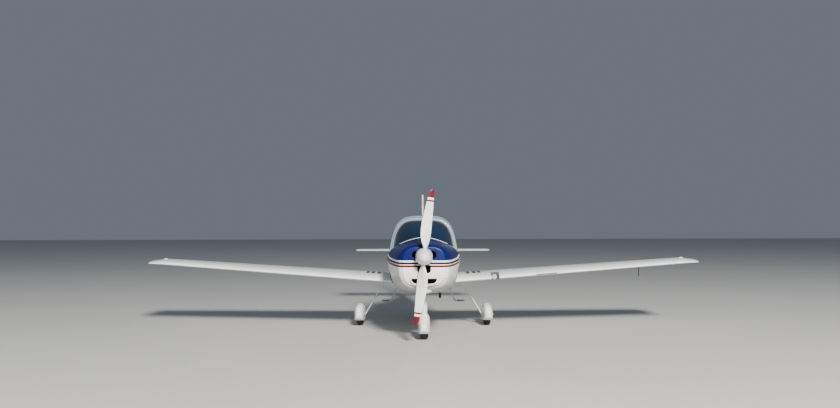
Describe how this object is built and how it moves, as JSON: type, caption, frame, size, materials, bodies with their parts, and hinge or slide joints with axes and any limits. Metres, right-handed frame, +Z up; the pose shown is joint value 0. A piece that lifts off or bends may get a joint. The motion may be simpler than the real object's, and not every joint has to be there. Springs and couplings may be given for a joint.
{
  "type": "two-seat low-wing light aircraft",
  "caption": "Low-wing two-seat light aircraft on a spatted nose-wheel undercarriage, with a tractor propeller, a fixed windshield and a sliding bubble canopy.",
  "frame": {"origin": "on the ground below the middle of the bounding box, the tyres standing at z = 0", "axes": "+X towards the port wing tip, +Y aft, with the propeller at -Y, +Z up"},
  "size_m": [7.748, 6.15, 2.03],
  "materials": {
    "cabin_paint": "gloss",
    "tail_paint": "gloss",
    "cowl_blue": "gloss",
    "cowl_white": "gloss",
    "engine_metal": "rough",
    "exhaust_metal": "heat stained",
    "clear_panel": "clear",
    "bow_paint": "gloss",
    "panel_plastic": "matt",
    "seat_fabric": "woven",
    "stick_plastic": "matt",
    "propeller_paint": "gloss",
    "spinner_paint": "satin",
    "bare_aluminium": "satin",
    "gear_steel": "satin",
    "fairing_paint": "gloss",
    "tyre": "matt",
    "lamp_metal": "polished",
    "lamp_cover": "clear",
    "pitot_paint": "matt",
    "leg_paint": "gloss",
    "wing_paint": "gloss",
    "seal_rubber": "matt",
    "step_paint": "satin"
  },
  "bodies": {
    "airframe": {"fuselage": "cabin_paint", "tail_cone": "tail_paint", "cowl_upper": "cowl_blue", "cowl_lower": "cowl_white", "chin_blister": "cowl_white", "engine": "engine_metal", "exhaust_pipe": "exhaust_metal", "windshield": "clear_panel", "windshield_bow": "bow_paint", "instrument_panel": "panel_plastic", "centre_console": "panel_plastic", "seat_port": "seat_fabric", "seat_starboard": "seat_fabric", "control_stick_port": "stick_plastic", "control_stick_starboard": "stick_plastic", "nose_leg_mount": "gear_steel", "landing_light": "lamp_metal", "landing_light_cover": "lamp_cover", "pitot_mast": "pitot_paint", "stabilizer": "tail_paint", "fin": "tail_paint", "main_leg_port": "leg_paint", "main_spat_port": "fairing_paint", "wing_port": "wing_paint", "wing_root_seal_port": "seal_rubber", "entry_step_port": "step_paint", "main_leg_starboard": "leg_paint", "main_spat_starboard": "fairing_paint", "wing_starboard": "wing_paint", "wing_root_seal_starboard": "seal_rubber", "entry_step_starboard": "step_paint"},
    "propeller_assembly": {"propeller": "propeller_paint", "spinner": "spinner_paint", "spinner_backplate": "bare_aluminium"},
    "nose_gear": {"nose_leg": "gear_steel", "nose_leg_fairing": "fairing_paint", "nose_spat": "fairing_paint"},
    "nose_wheel_assembly": {"nose_tyre": "tyre", "nose_wheel": "bare_aluminium"},
    "port_wheel_assembly": {"main_tyre_port": "tyre", "main_wheel_port": "bare_aluminium"},
    "starboard_wheel_assembly": {"main_tyre_starboard": "tyre", "main_wheel_starboard": "bare_aluminium"},
    "canopy": {"canopy_glass": "clear_panel", "canopy_frame": "bow_paint"},
    "port_flap": {"flap_port": "wing_paint"},
    "starboard_flap": {"flap_starboard": "wing_paint"},
    "port_aileron": {"aileron_port": "wing_paint"},
    "starboard_aileron": {"aileron_starboard": "wing_paint"},
    "elevator_body": {"elevator": "tail_paint"},
    "rudder_body": {"rudder": "tail_paint"}
  },
  "joints": [
    {"name": "propeller_spin", "type": "hinge", "parent": "airframe", "child": "propeller_assembly", "pos_m": [0, -2.905, 1.062], "axis": [0, 1, 0], "continuous": true},
    {"name": "nose_steer", "type": "hinge", "parent": "airframe", "child": "nose_gear", "pos_m": [0, -2.36, 0.303], "axis": [0, 0, 1], "range_deg": [-25, 25]},
    {"name": "nose_wheel_spin", "type": "hinge", "parent": "nose_gear", "child": "nose_wheel_assembly", "pos_m": [0, -2.325, 0.145], "axis": [1, 0, 0], "continuous": true},
    {"name": "port_wheel_spin", "type": "hinge", "parent": "airframe", "child": "port_wheel_assembly", "pos_m": [0.923, -0.775, 0.148], "axis": [1, 0, 0], "continuous": true},
    {"name": "starboard_wheel_spin", "type": "hinge", "parent": "airframe", "child": "starboard_wheel_assembly", "pos_m": [-0.923, -0.775, 0.148], "axis": [1, 0, 0], "continuous": true},
    {"name": "canopy_slide", "type": "slide", "parent": "airframe", "child": "canopy", "axis": [0, 1, 0], "range_m": [0, 0.78]},
    {"name": "port_flap_hinge", "type": "hinge", "parent": "airframe", "child": "port_flap", "pos_m": [0.52, -0.4021, 0.7025], "axis": [-0.9954, 0.0627, -0.0725], "range_deg": [0, 35]},
    {"name": "starboard_flap_hinge", "type": "hinge", "parent": "airframe", "child": "starboard_flap", "pos_m": [-0.52, -0.4021, 0.7025], "axis": [-0.9954, -0.0627, 0.0725], "range_deg": [0, 35]},
    {"name": "port_aileron_hinge", "type": "hinge", "parent": "airframe", "child": "port_aileron", "pos_m": [2.062, -0.4992, 0.8149], "axis": [-0.9954, 0.0627, -0.0725], "range_deg": [-20, 20]},
    {"name": "starboard_aileron_hinge", "type": "hinge", "parent": "airframe", "child": "starboard_aileron", "pos_m": [-2.062, -0.4992, 0.8149], "axis": [-0.9954, -0.0627, 0.0725], "range_deg": [-20, 20]},
    {"name": "elevator_hinge", "type": "hinge", "parent": "airframe", "child": "elevator_body", "pos_m": [0, 2.615, 1.002], "axis": [1, 0, 0], "range_deg": [-15, 25]},
    {"name": "rudder_hinge", "type": "hinge", "parent": "airframe", "child": "rudder_body", "pos_m": [0, 2.7, 1.078], "axis": [0, 0, 1], "range_deg": [-28, 28]}
  ],
  "couplings": [
    {"joint": "starboard_flap_hinge", "follows": "port_flap_hinge", "ratio": 1},
    {"joint": "starboard_aileron_hinge", "follows": "port_aileron_hinge", "ratio": -1},
    {"joint": "nose_steer", "follows": "rudder_hinge", "ratio": -0.85}
  ]
}
